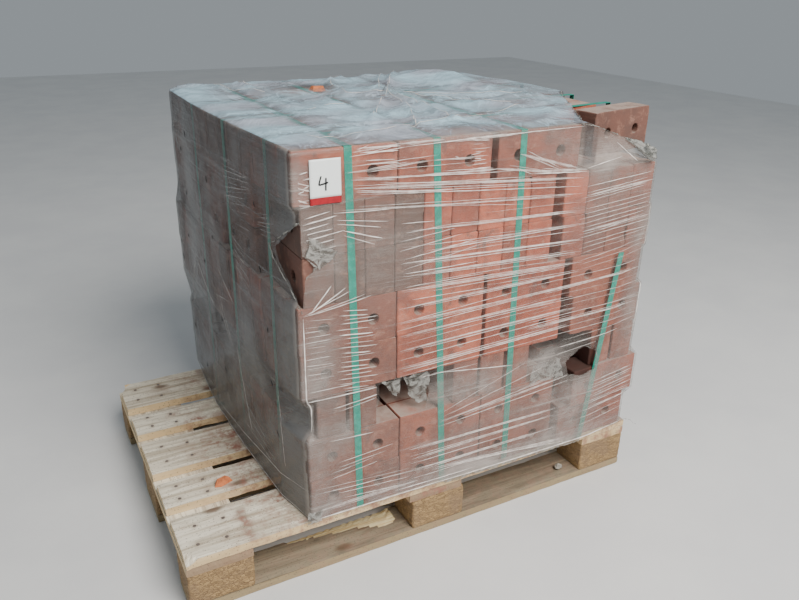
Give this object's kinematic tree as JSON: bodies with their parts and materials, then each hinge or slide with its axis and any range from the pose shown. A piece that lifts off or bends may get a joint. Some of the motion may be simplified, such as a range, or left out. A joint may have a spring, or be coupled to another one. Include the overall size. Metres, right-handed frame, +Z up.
{
  "type": "pallet of bricks",
  "caption": "Pack of perforated bricks, strapped and film-wrapped, standing on a four-way timber block pallet.",
  "frame": {"origin": "middle of the pallet's underside, on the underside of the centre bottom board", "axes": "+X along the pallet's 1200 mm side, +Y from the front to the back, +Z up"},
  "size_m": [1.2637, 0.884, 0.9814],
  "materials": {
    "brick": "fired red clay, wire-cut faces, dusty",
    "deck_timber": "weathered grey sawn softwood",
    "bottom_timber": "sawn softwood, dirty",
    "chip_block": "pressed wood-chip block",
    "strap": "embossed green polyester strap",
    "film": "clear stretch film, creased and torn",
    "card": "coated card with a red band"
  },
  "bodies": {
    "root": {"deck_board_front": "deck_timber", "deck_board_front_inner": "deck_timber", "deck_board_centre": "deck_timber", "deck_board_back_inner": "deck_timber", "deck_board_back": "deck_timber", "cross_board_left": "deck_timber", "cross_board_centre": "deck_timber", "cross_board_right": "deck_timber", "bottom_board_front": "bottom_timber", "block_front_left": "chip_block", "block_front_centre": "chip_block", "block_front_right": "chip_block", "bottom_board_centre": "bottom_timber", "block_centre_left": "chip_block", "block_centre_centre": "chip_block", "block_centre_right": "chip_block", "bottom_board_back": "bottom_timber", "block_back_left": "chip_block", "block_back_centre": "chip_block", "block_back_right": "chip_block", "brick_course_1": "brick", "brick_course_2": "brick", "brick_course_3": "brick", "brick_course_4": "brick", "brick_course_5": "brick", "brick_course_6": "brick", "brick_course_7": "brick", "brick_course_8": "brick", "strap_front_1": "strap", "strap_side_1": "strap", "strap_front_2": "strap", "strap_side_2": "strap", "strap_front_3": "strap", "strap_side_3": "strap", "strap_broken": "strap", "film_wrap": "film", "label_card": "card", "brick_chip_deck": "brick", "brick_chip_top": "brick"}
  },
  "joints": []
}
